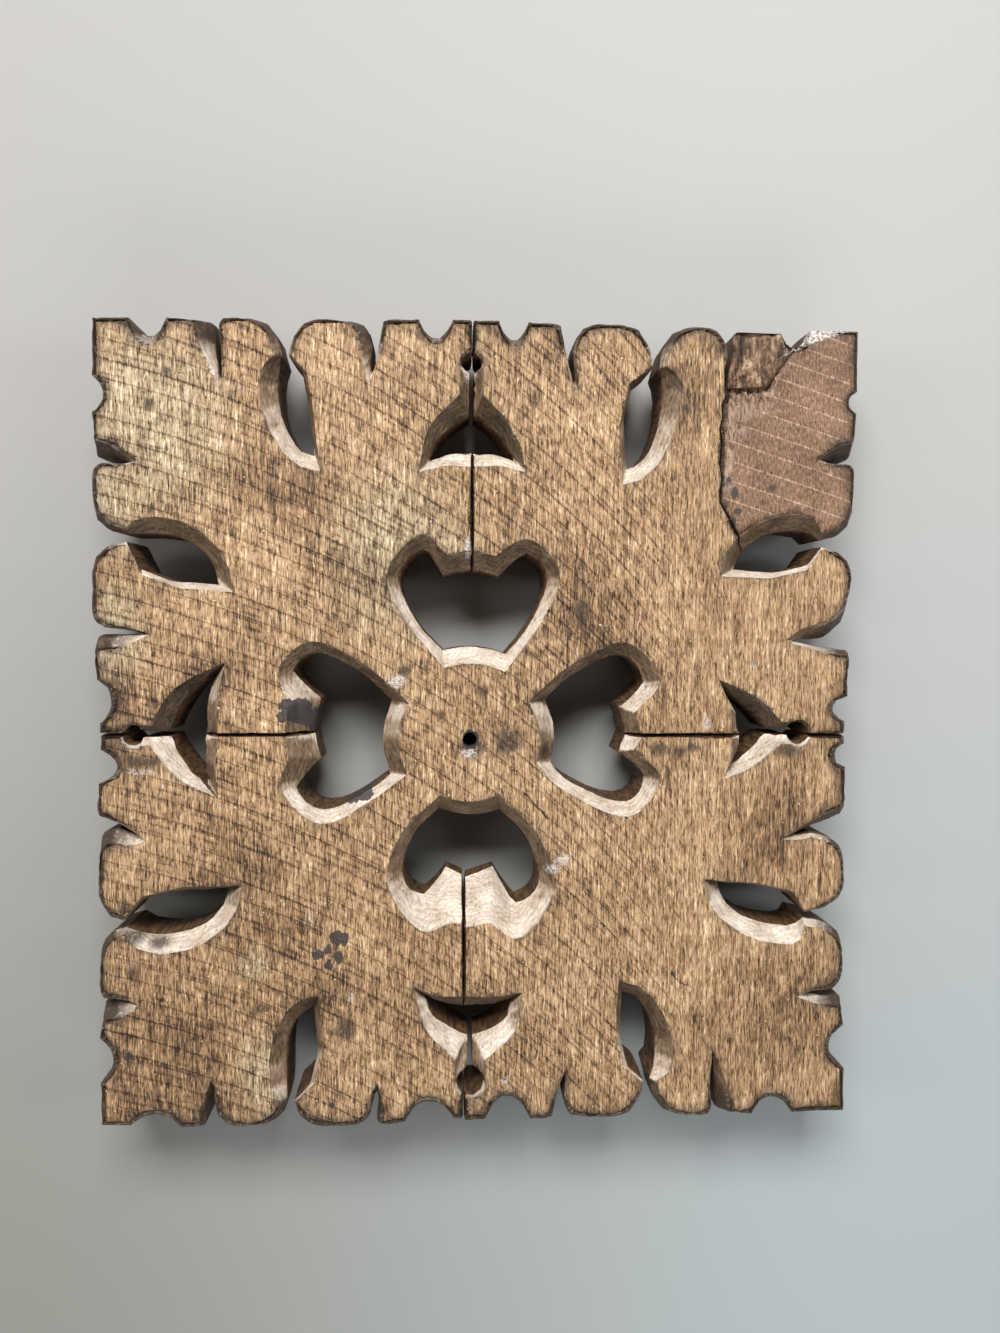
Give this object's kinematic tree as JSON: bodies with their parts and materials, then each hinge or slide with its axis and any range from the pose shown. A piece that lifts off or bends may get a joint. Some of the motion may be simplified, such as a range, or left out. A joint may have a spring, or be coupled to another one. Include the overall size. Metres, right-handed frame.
{
  "type": "ceiling boss",
  "caption": "Square pierced and carved oak ceiling boss: leaves to the corners round a plain disc, hearts and bell shapes cut through, flat sawn back.",
  "frame": {"origin": "mouth of the middle screw hole, in the plane of the flat sawn back", "axes": "+Z out of the sawn back, towards the ceiling; the carved face looks along -Z; +Y along the grain; +X across it, the let-in corner at +X +Y"},
  "size_m": [0.2512, 0.2673, 0.034],
  "materials": {
    "oak": "worn, dry sawn oak",
    "patch_wood": "dry sawn reddish wood"
  },
  "bodies": {
    "root": {"boss_body": "oak", "corner_patch": "patch_wood"}
  },
  "joints": []
}
